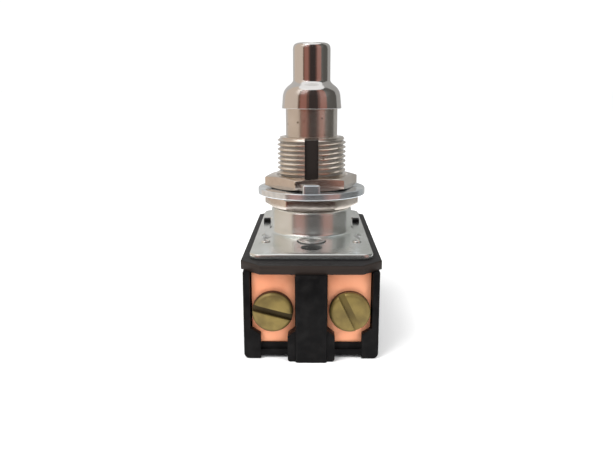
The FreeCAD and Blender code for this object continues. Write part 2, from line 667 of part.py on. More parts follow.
# ------------------------------------------------------------------ the assembly
contact_block()
cover_plate()
mounting_plate()
threaded_bushing()
hex_nut("lower_nut", "lower_nut_base", "lower_nut_turn")
hex_nut("upper_nut", "(washer_base+washer_thick+nut_gap)", "upper_nut_turn")
tab_washer()
button_cap()
plunger_sleeve()
retaining_ring()
stem_guide()
actuator_stem()
node("overtravel_spring", coil(
    "over_coil", "over_wire", "sleeve_end+guide_thick+0.1+stem_head_thick+0.02",
    "sleeve_top-sleeve_roof-0.02", 10))
contact_carrier()
inner_guide()
node("return_spring", coil(
    "return_coil", "return_wire", "cavity_floor+0.02", "pocket_top-0.02", 4))
node("contact_spring", coil(
    "contact_coil", "contact_wire", "bridge_base+bridge_thick+0.02", "window_top-0.02", 4))
contact_bridge()

ARMS = {"left": "upper_arm", "right": "lower_arm"}
SLOTS = {("front", "left"): 14.5, ("front", "right"): 64.0, ("rear", "left"): -35.0,
         ("rear", "right"): 8.0}
for end_name in ENDS:
    for side_name in SIDES:
        terminal(end_name, side_name, ARMS[side_name])
        terminal_screw(end_name, side_name, SLOTS[end_name, side_name])

both_ends = [f"{end}*contact_along" for end in ENDS.values()]
contact_discs("break_contacts", [
    ("-contact_across", y, "(upper_arm-contact_thick)") for y in both_ends])
contact_discs("make_contacts", [
    ("contact_across", y, "(lower_arm+copper)") for y in both_ends])
contact_discs("bridge_contacts", [
    ("-contact_across", y, "(bridge_base+bridge_thick)") for y in both_ends] + [
    ("contact_across", y, "(bridge_base-contact_thick)") for y in both_ends])
corner_rivets()
disc_rivets()

doc.recompute()
failed = [thing.Name for thing in doc.Objects if {"Invalid", "Error"} & set(thing.State)]
if failed:
    raise RuntimeError(f"objects that failed: {failed}")
os.makedirs("parts", exist_ok=True)
for thing in NODES:
    shape = thing.Shape
    if shape.isNull() or not shape.isValid() or shape.Volume <= 0:
        raise RuntimeError(f"{thing.Label} has no valid solid")
    shape.exportStep(f"parts/{thing.Label}.step")
    print(f"{thing.Label:30s} solids {len(shape.Solids)}  volume {shape.Volume:9.2f}")
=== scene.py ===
import json
import math

import bpy
from mathutils import Matrix, Vector


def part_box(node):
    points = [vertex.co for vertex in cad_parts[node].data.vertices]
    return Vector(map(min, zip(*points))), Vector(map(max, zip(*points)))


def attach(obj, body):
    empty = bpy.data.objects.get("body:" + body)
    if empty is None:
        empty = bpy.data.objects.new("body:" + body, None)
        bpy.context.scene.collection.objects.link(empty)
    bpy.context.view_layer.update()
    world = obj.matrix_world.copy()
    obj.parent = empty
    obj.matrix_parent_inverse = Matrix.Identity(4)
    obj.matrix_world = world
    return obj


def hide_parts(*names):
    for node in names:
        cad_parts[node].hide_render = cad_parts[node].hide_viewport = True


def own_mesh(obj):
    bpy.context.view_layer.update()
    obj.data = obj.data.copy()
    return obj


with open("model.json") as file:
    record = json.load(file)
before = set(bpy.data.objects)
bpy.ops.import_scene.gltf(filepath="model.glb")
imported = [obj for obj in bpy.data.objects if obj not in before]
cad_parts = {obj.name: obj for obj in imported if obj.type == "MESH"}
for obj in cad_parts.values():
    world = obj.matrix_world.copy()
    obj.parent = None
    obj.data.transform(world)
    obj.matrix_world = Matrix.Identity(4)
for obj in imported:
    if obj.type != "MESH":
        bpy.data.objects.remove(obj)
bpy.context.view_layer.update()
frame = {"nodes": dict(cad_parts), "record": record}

MM = 0.001
STEPS = 96


def bottom(node):
    """The height of a CAD node's lowest point, to a hundredth of a millimetre."""
    return round(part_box(node)[0][2] / MM, 2)


def top(node):
    return round(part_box(node)[1][2] / MM, 2)


def reach(node, axis):
    """How far a CAD node goes out along X (0) or Y (1)."""
    return round(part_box(node)[1][axis] / MM, 2)


# Sizes in millimetres. Heights are above the plane the feet stand on, and what a piece shares
# with its neighbours is taken from the frame.
PLATE_BASE, PLATE_TOP, COLLAR_TOP = bottom("mounting_plate"), 21.4, top("mounting_plate")
PLATE_X, PLATE_Y = reach("mounting_plate", 0), reach("mounting_plate", 1)
COLLAR_CEILING = 26.0
BUSH_BOTTOM, BUSH_TOP = bottom("threaded_bushing"), top("threaded_bushing")
THREAD_PITCH = 25.4 / 24
THREAD_CREST, THREAD_ROOT = 7.93, 7.29
KEY_HALF, KEY_FLOOR = 1.52, 6.86
LOWER_NUT, UPPER_NUT = bottom("lower_nut"), bottom("upper_nut")
NUT_CORNER, NUT_THICK = 10.998, round(top("lower_nut") - LOWER_NUT, 2)
WASHER, WASHER_THICK, WASHER_RADIUS = bottom("tab_washer"), 1.5, reach("tab_washer", 0)
CAP_FOOT, CAP_TOP = bottom("button_cap"), top("button_cap")
HOLE_Y, HOLE_RADIUS = 18.4, 2.3
DISC_Y, DISC_SHANK, DISC_SEAT = 12.8, 1.4, 3.2
RIVET_X, RIVET_Y, RIVET_SHANK = 10.0, 13.0, 0.8
LUG_X, LUG_Y, LUG_SLOT_X, LUG_SLOT_Y = 11.1, 8.0, 0.86, 1.06
DIMPLE_X, DIMPLE_Y = 10.5, 7.2
SCREW_X, SCREW_Z, BLADE_FACE = 7.8, 10.1, reach("terminal_rear_left", 1)
SLOT_TURN = {("front", "left"): 14.5, ("front", "right"): 64.0, ("rear", "left"): -35.0,
             ("rear", "right"): 8.0}
ENDS = {"front": -1, "rear": 1}
SIDES = {"left": -1, "right": 1}


# ------------------------------------------------------------------ hand tools
def deselect():
    if bpy.context.object and bpy.context.object.mode != "OBJECT":
        bpy.ops.object.mode_set(mode="OBJECT")
    bpy.ops.object.select_all(action="DESELECT")


def pick(piece):
    deselect()
    piece.select_set(True)
    bpy.context.view_layer.objects.active = piece


def settle(piece):
    """Puts a piece's place, turn and size into its mesh."""
    pick(piece)
    bpy.ops.object.transform_apply(location=True, rotation=True, scale=True)
    return piece


def smooth(piece, angle=32):
    pick(piece)
    bpy.ops.object.shade_smooth_by_angle(angle=math.radians(angle))
    return piece


def finish_modifier(piece, kind, **settings):
    """Adds one modifier and applies it."""
    pick(piece)
    bpy.ops.object.modifier_add(type=kind)
    modifier = piece.modifiers[-1]
    for name, value in settings.items():
        setattr(modifier, name, value)
    bpy.ops.object.modifier_apply(modifier=modifier.name)
    return piece


def bevel(piece, width, segments=2, angle=30):
    return finish_modifier(piece, "BEVEL", width=width * MM, segments=segments,
                           limit_method="ANGLE", angle_limit=math.radians(angle))


def carve(piece, cutter, operation="DIFFERENCE"):
    """Cuts, joins or trims a piece with another, which is used up."""
    finish_modifier(piece, "BOOLEAN", object=cutter, operation=operation, solver="MANIFOLD")
    bpy.data.objects.remove(cutter)
    return piece


def outwards():
    """Points all faces of the piece in edit mode outwards, and leaves edit mode."""
    bpy.ops.mesh.select_all(action="SELECT")
    bpy.ops.mesh.normals_make_consistent(inside=False)
    bpy.ops.object.mode_set(mode="OBJECT")


def chain(name, corners):
    """A run of edges: one vertex, extruded from corner to corner. It stays in edit mode."""
    deselect()
    bpy.ops.mesh.primitive_plane_add(size=MM, location=(0, 0, 0))
    piece = bpy.context.object
    piece.name = name
    bpy.ops.object.mode_set(mode="EDIT")
    bpy.ops.mesh.merge(type="CENTER")
    places = [Vector(corner) * MM for corner in corners]
    bpy.ops.transform.translate(value=places[0])
    for here, following in zip(places, places[1:]):
        bpy.ops.mesh.extrude_region_move(TRANSFORM_OT_translate={"value": following - here})
    return piece


def eased(corners):
    """A profile of (radius, height) corners; a third number rounds that corner by so much."""
    parts = 5
    run = []
    for index, corner in enumerate(corners):
        here = Vector(corner[:2])
        if len(corner) == 2:
            run.append(tuple(here))
            continue
        before = Vector(corners[index - 1][:2])
        after = Vector(corners[(index + 1) % len(corners)][:2])
        start = here + (before - here).normalized() * corner[2]
        end = here + (after - here).normalized() * corner[2]
        for part in range(parts + 1):
            t = part / parts
            run.append(tuple(start * (1 - t) ** 2 + here * 2 * t * (1 - t) + end * t ** 2))
    return run


def lathe(name, corners, steps=STEPS, closed=False):
    """Spins a profile about the plunger's axis. A closed one ends where it began."""
    run = eased(corners)
    if closed:
        run.append(run[0])
    piece = chain(name, [(radius, 0, height) for radius, height in run])
    bpy.ops.mesh.select_all(action="SELECT")
    bpy.ops.mesh.spin(steps=steps, angle=2 * math.pi, center=(0, 0, 0), axis=(0, 0, 1))
    bpy.ops.mesh.select_all(action="SELECT")
    bpy.ops.mesh.remove_doubles(threshold=2e-6)
    outwards()
    return smooth(piece)


def brick(name, low, high, edge=0.0, segments=2):
    """A cube stretched between two corners, its edges rounded."""
    deselect()
    middle = [(a + b) / 2 * MM for a, b in zip(low, high)]
    bpy.ops.mesh.primitive_cube_add(size=1, location=middle)
    piece = bpy.context.object
    piece.name = name
    bpy.ops.object.mode_set(mode="EDIT")
    bpy.ops.transform.resize(value=[(b - a) * MM for a, b in zip(low, high)],
                             center_override=middle)
    bpy.ops.object.mode_set(mode="OBJECT")
    settle(piece)
    if edge:
        bevel(piece, edge, segments)
    return piece


def tidy_faces(piece):
    """Merges doubles after a cut and points every face outwards."""
    pick(piece)
    bpy.ops.object.mode_set(mode="EDIT")
    bpy.ops.mesh.select_all(action="SELECT")
    bpy.ops.mesh.remove_doubles(threshold=1e-6)
    outwards()
    return smooth(piece)


def fit(piece, body, finish, *nodes):
    """Gives a finished piece its body and its finish, and hides the CAD nodes it stands for."""
    piece.data.materials.clear()
    piece.data.materials.append(finish.material)
    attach(piece, body)
    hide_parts(*nodes)
    return piece


# ------------------------------------------------------------------ finishes
class Tone:
    """A shader value that Python's arithmetic works on."""

    def __init__(self, finish, socket):
        self.finish, self.socket = finish, socket

    def _math(self, operation, first, second):
        return self.finish.add("ShaderNodeMath", {"operation": operation}, {0: first, 1: second})

    def __add__(self, other):
        return self._math("ADD", self, other)

    def __sub__(self, other):
        return self._math("SUBTRACT", self, other)

    def __mul__(self, other):
        return self._math("MULTIPLY", self, other)

    def __truediv__(self, other):
        return self._math("DIVIDE", self, other)

    def __pow__(self, other):
        return self._math("POWER", self, other)

    def __rsub__(self, other):
        return self._math("SUBTRACT", other, self)

    __radd__, __rmul__ = __add__, __mul__


class Finish:
    """One painted, plated or moulded surface."""

    def __init__(self, name, slot, **constants):
        self.slot = slot
        self.material = bpy.data.materials.new(name)
        self.material.use_nodes = True
        self.nodes = self.material.node_tree.nodes
        self.links = self.material.node_tree.links
        self.skin = self.nodes["Principled BSDF"]
        for key, value in constants.items():
            self.skin.inputs[key.replace("_", " ")].default_value = value

    def add(self, kind, settings=None, values=None, out=0):
        """Adds a node: its settings first, then the value or link of each socket."""
        node = self.nodes.new(kind)
        for key, value in (settings or {}).items():
            setattr(node, key, value)
        for key, value in (values or {}).items():
            if isinstance(value, Tone):
                self.links.new(value.socket, node.inputs[key])
            else:
                node.inputs[key].default_value = value
        return Tone(self, node.outputs[out])

    def place(self, stretch=(1, 1, 1)):
        """The piece's own coordinates, in metres."""
        own = self.add("ShaderNodeTexCoord", out="Object")
        return self.add("ShaderNodeMapping", {}, {"Vector": own, "Scale": stretch})

    def along(self, axes):
        """The piece's own coordinates in millimetres, one tone for each axis named."""
        own = self.add("ShaderNodeTexCoord", out="Object")
        return [self.add("ShaderNodeSeparateXYZ", {}, {0: own}, out=axis) / MM for axis in axes]

    def grain(self, scale, detail=3.0, stretch=(1, 1, 1)):
        """Noise, with so many grains to the metre."""
        return self.add("ShaderNodeTexNoise", {}, {
            "Vector": self.place(stretch), "Scale": scale, "Detail": detail})

    def step(self, value, low, high):
        """0 below low, 1 above high."""
        return self.add("ShaderNodeMapRange", {"interpolation_type": "SMOOTHSTEP"}, {
            "Value": value, "From Min": low, "From Max": high})

    def blend(self, share, first, second):
        """A colour between two."""
        return self.add("ShaderNodeMix", {"data_type": "RGBA"}, {
            "Factor": share, 6: first, 7: second}, out=2)

    def relief(self, height, strength, depth):
        return self.add("ShaderNodeBump", {}, {
            "Height": height, "Strength": strength, "Distance": depth * MM})

    def wear(self, **tones):
        """Feeds varying tones to the surface."""
        for key, tone in tones.items():
            self.links.new(tone.socket, self.skin.inputs[key.replace("_", " ")])
        return self


def rgb(red, green, blue):
    return (red, green, blue, 1.0)


def moulded_black():
    """Phenolic moulding: near black, satin, faintly mottled."""
    f = Finish("phenolic", "phenolic", Specular_IOR_Level=0.07)
    mottle = f.grain(450, 5)
    skin = f.grain(2600, 3)
    return f.wear(
        Base_Color=f.blend(f.step(mottle, 0.35, 0.75), rgb(.004, .0038, .004),
                           rgb(.009, .0085, .0085)),
        Roughness=0.34 + mottle * 0.2,
        Normal=f.relief(skin, 0.25, 0.02))


def laminate():
    """Dark laminated sheet: grey-black face, brown cut edge with fine layers."""
    f = Finish("cover laminate", "cover_laminate", Specular_IOR_Level=0.14)
    facing = f.add("ShaderNodeNewGeometry", out="Normal")
    upright = f.add("ShaderNodeSeparateXYZ", {}, {0: facing}, out="Z")
    edge = 1 - f.step(upright * upright, 0.3, 0.7)
    layers = f.grain(300, 3, (0.3, 0.3, 9))
    cut_edge = f.blend(layers, rgb(.011, .008, .0065), rgb(.030, .021, .017))
    face = f.blend(f.grain(500, 5), rgb(.010, .0097, .010), rgb(.024, .0235, .024))
    return f.wear(
        Base_Color=f.blend(edge, face, cut_edge),
        Roughness=0.42 + f.grain(900) * 0.2,
        Normal=f.relief(f.grain(1800, 4, (1, 1, 3)), 0.3, 0.02))


def thread_painted_shade(f):
    """Painted shade: dark in the keyway and the bore, half dark in the thread's roots."""
    x, y, z = f.along("XYZ")
    radius = (x * x + y * y) ** 0.5
    below_mouth = 1 - f.step(z, BUSH_TOP - 0.5, BUSH_TOP - 0.3)
    in_keyway = (1 - f.step(radius, THREAD_ROOT - 0.19, THREAD_ROOT - 0.04)) * 0.35
    in_roots = (1 - f.step(radius, THREAD_ROOT - 0.01, THREAD_ROOT + 0.17)) * 0.65
    return (in_keyway + in_roots) * below_mouth


def plate_painted_shade(f):
    """Painted shade: dark in the groove round each wide rivet head, dim in the two coined
    dimples.
    """
    x, y, z = f.along("XYZ")
    on_plate = (f.step(z, PLATE_BASE, PLATE_TOP - 0.4)
                - f.step(z, PLATE_TOP + 0.2, PLATE_TOP + 0.3))
    from_disc = (y * y) ** 0.5 - DISC_Y
    radius = (x * x + from_disc * from_disc) ** 0.5
    past_head = f.step(radius, DISC_SEAT - 0.32, DISC_SEAT - 0.27)
    past_seat = f.step(radius, DISC_SEAT - 0.04, DISC_SEAT + 0.04)
    groove = past_head * (1 - past_seat) * on_plate
    half_wide, half_long = 0.9, 2.2
    across = ((x * x) ** 0.5 - DIMPLE_X) / half_wide
    behind = (y + DIMPLE_Y) / half_long
    dimple = 1 - f.step((across * across + behind * behind) ** 0.5, 0.45, 1.05)
    return groove * 0.9 + dimple * on_plate * 0.6


def plated(name, slot, bright, worn, roughness, spread, patch=110, pits=0.0, painted_shade=None,
           metal=1.0):
    """Metal plating with patches of wear and a fine grain, and with pits and painted shade if
    asked.
    """
    f = Finish(name, slot, Metallic=metal)
    patches = f.grain(patch, 4)
    grain = f.grain(1400, 4, (1, 1, 2.5))
    tint = f.blend(f.step(patches, 0.35, 0.7), bright, worn)
    relief = f.relief(grain, 0.12, 0.012)
    if pits:
        spots = f.add("ShaderNodeTexVoronoi", {}, {"Vector": f.place(), "Scale": 600.0})
        mark = 1 - f.step(spots, 0.10, 0.20)
        rare = f.step(f.grain(380, 1), 0.55, 0.60)
        pit = mark * rare * pits
        tint = f.blend(pit, tint, rgb(.16, .12, .08))
    if painted_shade:
        # Painted shade: where the mask is dark the plating turns near black and less metallic.
        shade_share = painted_shade(f)
        tint = f.blend(shade_share, tint, rgb(.030, .024, .022))
        f.wear(Metallic=metal - shade_share * 0.6)
    return f.wear(Base_Color=tint, Roughness=roughness + patches * spread, Normal=relief)


def polished_chrome():
    """The cap's chrome, with hairline wear."""
    f = Finish("polished chrome", "chrome", Metallic=1.0)
    smear = f.grain(160, 3, (1, 1, 0.4))
    hair = f.grain(900, 2, (1, 1, 0.05))
    return f.wear(
        Base_Color=f.blend(smear, rgb(.66, .64, .625), rgb(.76, .745, .73)),
        Roughness=0.10 + f.step(hair, 0.45, 0.8) * 0.06 + smear * 0.04,
        Normal=f.relief(hair, 0.03, 0.01))


def bright_copper():
    """Satin salmon copper, a little oxidised."""
    f = Finish("copper", "copper", Metallic=0.3, Specular_IOR_Level=0.3)
    cloud = f.grain(180, 4)
    rolled = f.grain(700, 3, (6, 1, 0.35))
    return f.wear(
        Base_Color=f.blend(f.step(cloud, 0.3, 0.75), rgb(.98, .43, .245), rgb(.94, .36, .19)),
        Roughness=0.40 + rolled * 0.16,
        Normal=f.relief(rolled, 0.15, 0.015))


def old_brass():
    """Olive brass of the screws, with painted shade in the slot, deep on the left screws and
    light on the right ones, and on the head's side under the rim.
    """
    f = Finish("dull brass", "brass", Metallic=0.65)
    cloud = f.grain(260, 4)
    scuff = f.grain(1300, 3, (1, 5, 1))
    x, y = f.along("XY")
    height = (y * y) ** 0.5 - BLADE_FACE
    slot_shade = (1 - f.step(height, 1.5, 2.0)) * (0.9 - f.step(x, -1, 1) * 0.72)
    rim_shade = (1 - f.step(height, 1.1, 1.25)) * 0.9
    brass_painted_shade = slot_shade + rim_shade * (1 - slot_shade)
    brass = f.blend(f.step(cloud, 0.35, 0.7), rgb(.25, .185, .058), rgb(.15, .11, .038))
    return f.wear(
        # Painted shade: the brass turns near black where the slot and rim masks are dark.
        Base_Color=f.blend(brass_painted_shade, brass, rgb(.028, .018, .006)),
        Roughness=0.36 + cloud * 0.2,
        Normal=f.relief(scuff, 0.2, 0.02))


def inner_plastic():
    """Brown moulding of the inner pieces, out of sight."""
    f = Finish("carrier plastic", "carrier_plastic", Specular_IOR_Level=0.4)
    cloud = f.grain(500, 4)
    return f.wear(
        Base_Color=f.blend(cloud, rgb(.045, .030, .018), rgb(.075, .052, .033)),
        Roughness=0.5 + cloud * 0.15)


FINISHES = {
    "phenolic": moulded_black(),
    "cover_laminate": laminate(),
    # The bright zinc carries painted shade round the wide rivet heads and in the two dimples.
    "zinc_steel": plated("bright zinc", "zinc_steel", rgb(.76, .78, .77), rgb(.66, .69, .66),
                         0.13, 0.18, painted_shade=plate_painted_shade, metal=0.94),
    "washer_zinc": plated("blue zinc", "zinc_steel", rgb(.84, .88, .91), rgb(.60, .65, .69),
                          0.07, 0.22, patch=260, metal=0.93),
    "nickel": plated("satin nickel", "nickel", rgb(.76, .70, .64), rgb(.60, .54, .48),
                     0.14, 0.16, pits=0.5),
    # The thread nickel carries painted shade in the keyway, the bore and the thread's roots.
    "neck_nickel": plated("thread nickel", "nickel", rgb(.80, .755, .70), rgb(.66, .61, .55),
                          0.13, 0.16, pits=1.0, painted_shade=thread_painted_shade),
    "sleeve_nickel": plated("bright nickel", "nickel", rgb(.74, .70, .66), rgb(.64, .60, .55),
                            0.18, 0.12, pits=1.0),
    "chrome": polished_chrome(),
    "copper": bright_copper(),
    "brass": old_brass(),
    "silver": plated("silver contact", "silver", rgb(.80, .80, .78), rgb(.55, .55, .53),
                     0.3, 0.2, patch=600),
    "spring_steel": plated("spring wire", "spring_steel", rgb(.50, .50, .50),
                           rgb(.36, .36, .36), 0.3, 0.15, patch=500),
    "carrier_plastic": inner_plastic(),
}


# ------------------------------------------------------------------ neck, nuts and washer
def driven(piece, pitch, turns, steps):
    """Drives an outline up a screw about Z, and leaves its open ends selected in edit mode."""
    finish_modifier(piece, "SCREW", axis="Z", screw_offset=pitch * MM, iterations=turns,
                    steps=steps, render_steps=steps, use_merge_vertices=False)
    pick(piece)
    bpy.ops.object.mode_set(mode="EDIT")
    bpy.ops.mesh.select_all(action="SELECT")
    bpy.ops.mesh.remove_doubles(threshold=1e-6)
    bpy.ops.mesh.select_all(action="DESELECT")
    bpy.ops.mesh.select_non_manifold()


def thread_rod():
    """A rod with a rolled thread: a row of teeth driven one turn up a screw.

    Both ends are drawn in to a point, past where the neck is cut off.
    """
    p = THREAD_PITCH
    teeth, first_low = 19, COLLAR_TOP - 1.513 * p
    row = []
    for tooth in range(teeth):
        low = first_low + tooth * p
        row += [(THREAD_ROOT, low + p * 0.09), (THREAD_CREST, low + p * 0.43),
                (THREAD_CREST, low + p * 0.57), (THREAD_ROOT, low + p * 0.91)]
    rod = chain("thread", [(radius, 0, height) for radius, height in row])
    bpy.ops.object.mode_set(mode="OBJECT")
    driven(rod, p, 1, 72)
    bpy.ops.mesh.extrude_region_move()
    bpy.ops.mesh.merge(type="COLLAPSE")
    outwards()
    return rod


def threaded_bushing():
    """The neck: thread, chamfered mouth, bore, rolled tenon and keyway."""
    past_thread, rolled, tenon, bore, flare = 9.5, 7.6, 6.99, 6, 6.45
    under, over = BUSH_BOTTOM - 1, BUSH_TOP + 1
    neck = thread_rod()
    carve(neck, lathe("mouth", [
        (0, COLLAR_TOP), (past_thread, COLLAR_TOP), (past_thread, BUSH_TOP - 2.2),
        (7.62, BUSH_TOP - 0.65), (7.35, BUSH_TOP - 0.1, 0.15), (6.3, BUSH_TOP, 0.1),
        (0, BUSH_TOP)]), "INTERSECT")
    carve(neck, lathe("tenon", [
        (0, BUSH_BOTTOM), (rolled, BUSH_BOTTOM), (rolled, COLLAR_CEILING),
        (tenon, COLLAR_CEILING), (tenon, COLLAR_TOP + 0.3), (0, COLLAR_TOP + 0.3)]), "UNION")
    carve(neck, lathe("bore", [
        (0, under), (bore, under), (bore, BUSH_TOP - 0.35), (flare, BUSH_TOP + 0.1),
        (flare, over), (0, over)]))
    carve(neck, brick("key", (-KEY_HALF, -past_thread, COLLAR_TOP - 0.2),
                      (KEY_HALF, -KEY_FLOOR, over)))
    neck.name = "neck"
    return fit(smooth(tidy_faces(neck), 25), "housing", FINISHES["neck_nickel"],
               "threaded_bushing")


def panel_nut(name, base, turn, body, node):
    """A thin hexagon nut chamfered on both faces, with a countersunk bore."""
    deselect()
    bpy.ops.mesh.primitive_cylinder_add(
        vertices=6, radius=NUT_CORNER * MM, depth=NUT_THICK * MM,
        location=(0, 0, (base + NUT_THICK / 2) * MM),
        rotation=(0, 0, math.radians(turn - 180)))
    nut = settle(bpy.context.object)
    nut.name = name
    face = base + NUT_THICK
    flat, past_corner, slope = 9.3, 13, 1.0
    carve(nut, lathe("chamfer", [
        (0, base), (flat, base), (past_corner, base + slope), (past_corner, face - slope),
        (flat, face), (0, face)]), "INTERSECT")
    mouth, bore, sink = 8.35, 7.97, 0.4
    carve(nut, lathe("hole", [
        (0, base - 1), (mouth, base - 1), (mouth, base), (bore, base + sink),
        (bore, face - sink), (mouth, face), (mouth, face + 1), (0, face + 1)]))
    bevel(nut, 0.1, angle=20)
    return fit(smooth(tidy_faces(nut), 25), body, FINISHES["nickel"], node)


def tab_washer():
    """The locating washer with its bent-up tab and the tongue that rides in the keyway."""
    z0, z1 = WASHER, WASHER + WASHER_THICK
    bore, tab_half, tab_thick, tab_rise, tab_lean, tongue_half = 8.06, 1.95, 1.4, 2.05, 9, 1.38
    ring = lathe("washer", [(bore, z0), (WASHER_RADIUS, z0, 0.22), (WASHER_RADIUS, z1, 0.3),
                            (bore, z1)], closed=True)
    tab = brick("tab", (-tab_half, -WASHER_RADIUS, z0 + 0.06),
                (tab_half, tab_thick - WASHER_RADIUS, z1 + tab_rise), 0.5, 5)
    heel = Matrix.Translation(Vector((0, -WASHER_RADIUS, z0)) * MM)
    lean = Matrix.Rotation(math.radians(-tab_lean), 4, "X")
    tab.matrix_world = heel @ lean @ heel.inverted()
    settle(tab)
    carve(ring, tab, "UNION")
    tongue = brick("tongue", (-tongue_half, -8.7, z0 + 0.03), (tongue_half, -7.1, z1 - 0.03), 0.1)
    carve(ring, tongue, "UNION")
    return fit(smooth(tidy_faces(ring), 35), "washer", FINISHES["washer_zinc"], "tab_washer")


# ------------------------------------------------------------------ cap and plunger
def button_cap():
    """One drawn shell: nub, shoulder and skirt, with a wall 0.5 thick."""
    wall, nub, skirt = 0.5, 4.24, 6.8
    outer = [(0, CAP_TOP), (nub, CAP_TOP, 1.35), (nub, 55.75, 0.3), (4.65, 55.25, 0.3),
             (5.68, 54.43, 0.4), (6.25, 53.7, 0.4), (6.55, 52.7, 0.4), (skirt, CAP_FOOT, 0.1)]
    inner = [(skirt - wall, CAP_FOOT, 0.1), (6.05, 52.6), (5.8, 53.4, 0.3), (4.4, 54.7),
             (nub - wall, 55.1, 0.3), (nub - wall, CAP_TOP - wall, 0.8), (0, CAP_TOP - wall)]
    shell = lathe("cap", outer + inner, steps=128)
    return fit(smooth(shell, 60), "plunger", FINISHES["chrome"], "button_cap")


def plunger_sleeve():
    """The turned tube under the cap, closed at the top, grooved at the foot."""
    bore, tube_radius, groove, neck = 4.9, 5.92, 5.4, 3.7
    foot, ceiling, shoulder = bottom("plunger_sleeve"), 51.5, 53.0
    ring_low, ring_high = bottom("retaining_ring"), top("retaining_ring")
    tube = lathe("sleeve", [
        (0, ceiling), (bore, ceiling), (bore, foot), (tube_radius, foot, 0.12),
        (tube_radius, ring_low), (groove, ring_low), (groove, ring_high),
        (tube_radius, ring_high), (tube_radius, shoulder, 0.15), (neck, shoulder),
        (neck, 62.2, 0.6), (2.6, 63.4, 0.3), (0, 63.4)])
    return fit(tube, "plunger", FINISHES["sleeve_nickel"], "plunger_sleeve")


def coil_spring(name, radius, wire, turns, body, node):
    """A wire spring as tall as its CAD node: a circle driven up a screw, its ends closed."""
    base = bottom(node)
    pitch = (top(node) - base - wire) / turns
    deselect()
    bpy.ops.mesh.primitive_circle_add(
        vertices=12, radius=wire / 2 * MM, fill_type="NGON",
        location=(radius * MM, 0, (base + wire / 2) * MM), rotation=(math.pi / 2, 0, 0))
    spring = settle(bpy.context.object)
    spring.name = name
    bpy.ops.object.mode_set(mode="EDIT")
    bpy.ops.mesh.select_all(action="SELECT")
    bpy.ops.mesh.delete(type="ONLY_FACE")
    bpy.ops.object.mode_set(mode="OBJECT")
    driven(spring, pitch, turns, 40)
    bpy.ops.mesh.edge_face_add()
    outwards()
    return fit(smooth(spring, 40), body, FINISHES["spring_steel"], node)


# ------------------------------------------------------------------ plate, screws and rivets
def mounting_plate():
    """Plate with rounded corners and a soft edge, and the drawn collar standing on it."""
    slab = brick("plate", (-PLATE_X, -PLATE_Y, PLATE_BASE), (PLATE_X, PLATE_Y, PLATE_TOP))
    pick(slab)
    bpy.ops.object.mode_set(mode="EDIT")
    bpy.ops.mesh.select_mode(type="EDGE")
    bpy.ops.mesh.select_all(action="DESELECT")
    bpy.ops.object.mode_set(mode="OBJECT")
    for edge in slab.data.edges:
        one, two = (slab.data.vertices[i].co for i in edge.vertices)
        edge.select = abs(one.z - two.z) > MM / 2
    bpy.ops.object.mode_set(mode="EDIT")
    corner_radius = 2.4
    bpy.ops.mesh.bevel(offset=corner_radius * MM, segments=10, affect="EDGES")
    bpy.ops.mesh.select_mode(type="VERT")
    bpy.ops.object.mode_set(mode="OBJECT")
    bevel(slab, 0.4, 4, 40)
    base, face, wall, root = PLATE_BASE + 0.3, PLATE_TOP + 0.01, 9.45, 10.45
    collar = lathe("collar", [
        (0, base), (root, base), (root, PLATE_TOP - 0.02), (root - 0.01, face),
        (wall, face, 0.95), (wall, COLLAR_TOP, 1.1), (6.9, COLLAR_TOP), (0, COLLAR_TOP)],
        steps=128)
    carve(slab, collar, "UNION")
    under, over, inside, hole = 19, 23, 8.2, 7.0
    carve(slab, lathe("well", [
        (0, under), (inside, under), (inside, COLLAR_CEILING), (hole, COLLAR_CEILING),
        (hole, COLLAR_TOP + 1.3), (0, COLLAR_TOP + 1.3)]))
    for end in ENDS.values():
        for y, radius, low in ((HOLE_Y, HOLE_RADIUS, under), (DISC_Y, DISC_SHANK + 0.02, under),
                               (DISC_Y, DISC_SEAT, PLATE_TOP - 0.4)):
            carve(slab, peg("drill", radius, low, over, 0, end * y))
        for side in SIDES.values():
            carve(slab, peg("drill", RIVET_SHANK + 0.05, under, over, side * RIVET_X,
                            end * RIVET_Y, 24))
    for side in SIDES.values():
        carve(slab, brick("slot", (side * LUG_X - LUG_SLOT_X, LUG_Y - LUG_SLOT_Y, under),
                          (side * LUG_X + LUG_SLOT_X, LUG_Y + LUG_SLOT_Y, over)))
        deselect()
        bpy.ops.mesh.primitive_uv_sphere_add(
            segments=24, ring_count=16, radius=1.3 * MM, scale=(1, 2.3, 1),
            location=(side * DIMPLE_X * MM, -DIMPLE_Y * MM, (PLATE_TOP + 0.9) * MM))
        carve(slab, settle(bpy.context.object))
    return fit(smooth(tidy_faces(slab), 35), "housing", FINISHES["zinc_steel"], "mounting_plate")


def peg(name, radius, low, high, x, y, steps=48):
    """A plain round cutter or pin along Z."""
    deselect()
    bpy.ops.mesh.primitive_cylinder_add(
        vertices=steps, radius=radius * MM, depth=(high - low) * MM,
        location=(x * MM, y * MM, (low + high) / 2 * MM))
    piece = settle(bpy.context.object)
    piece.name = name
    return piece


def moved(piece, x, y):
    """Shifts a piece's mesh across the plate."""
    pick(piece)
    bpy.ops.object.mode_set(mode="EDIT")
    bpy.ops.mesh.select_all(action="SELECT")
    bpy.ops.transform.translate(value=(x * MM, y * MM, 0))
    bpy.ops.object.mode_set(mode="OBJECT")
    return piece


def joined(name, parts):
    """Makes several like pieces one object."""
    deselect()
    for part in parts:
        part.select_set(True)
    bpy.context.view_layer.objects.active = parts[0]
    bpy.ops.object.join()
    parts[0].name = name
    return parts[0]


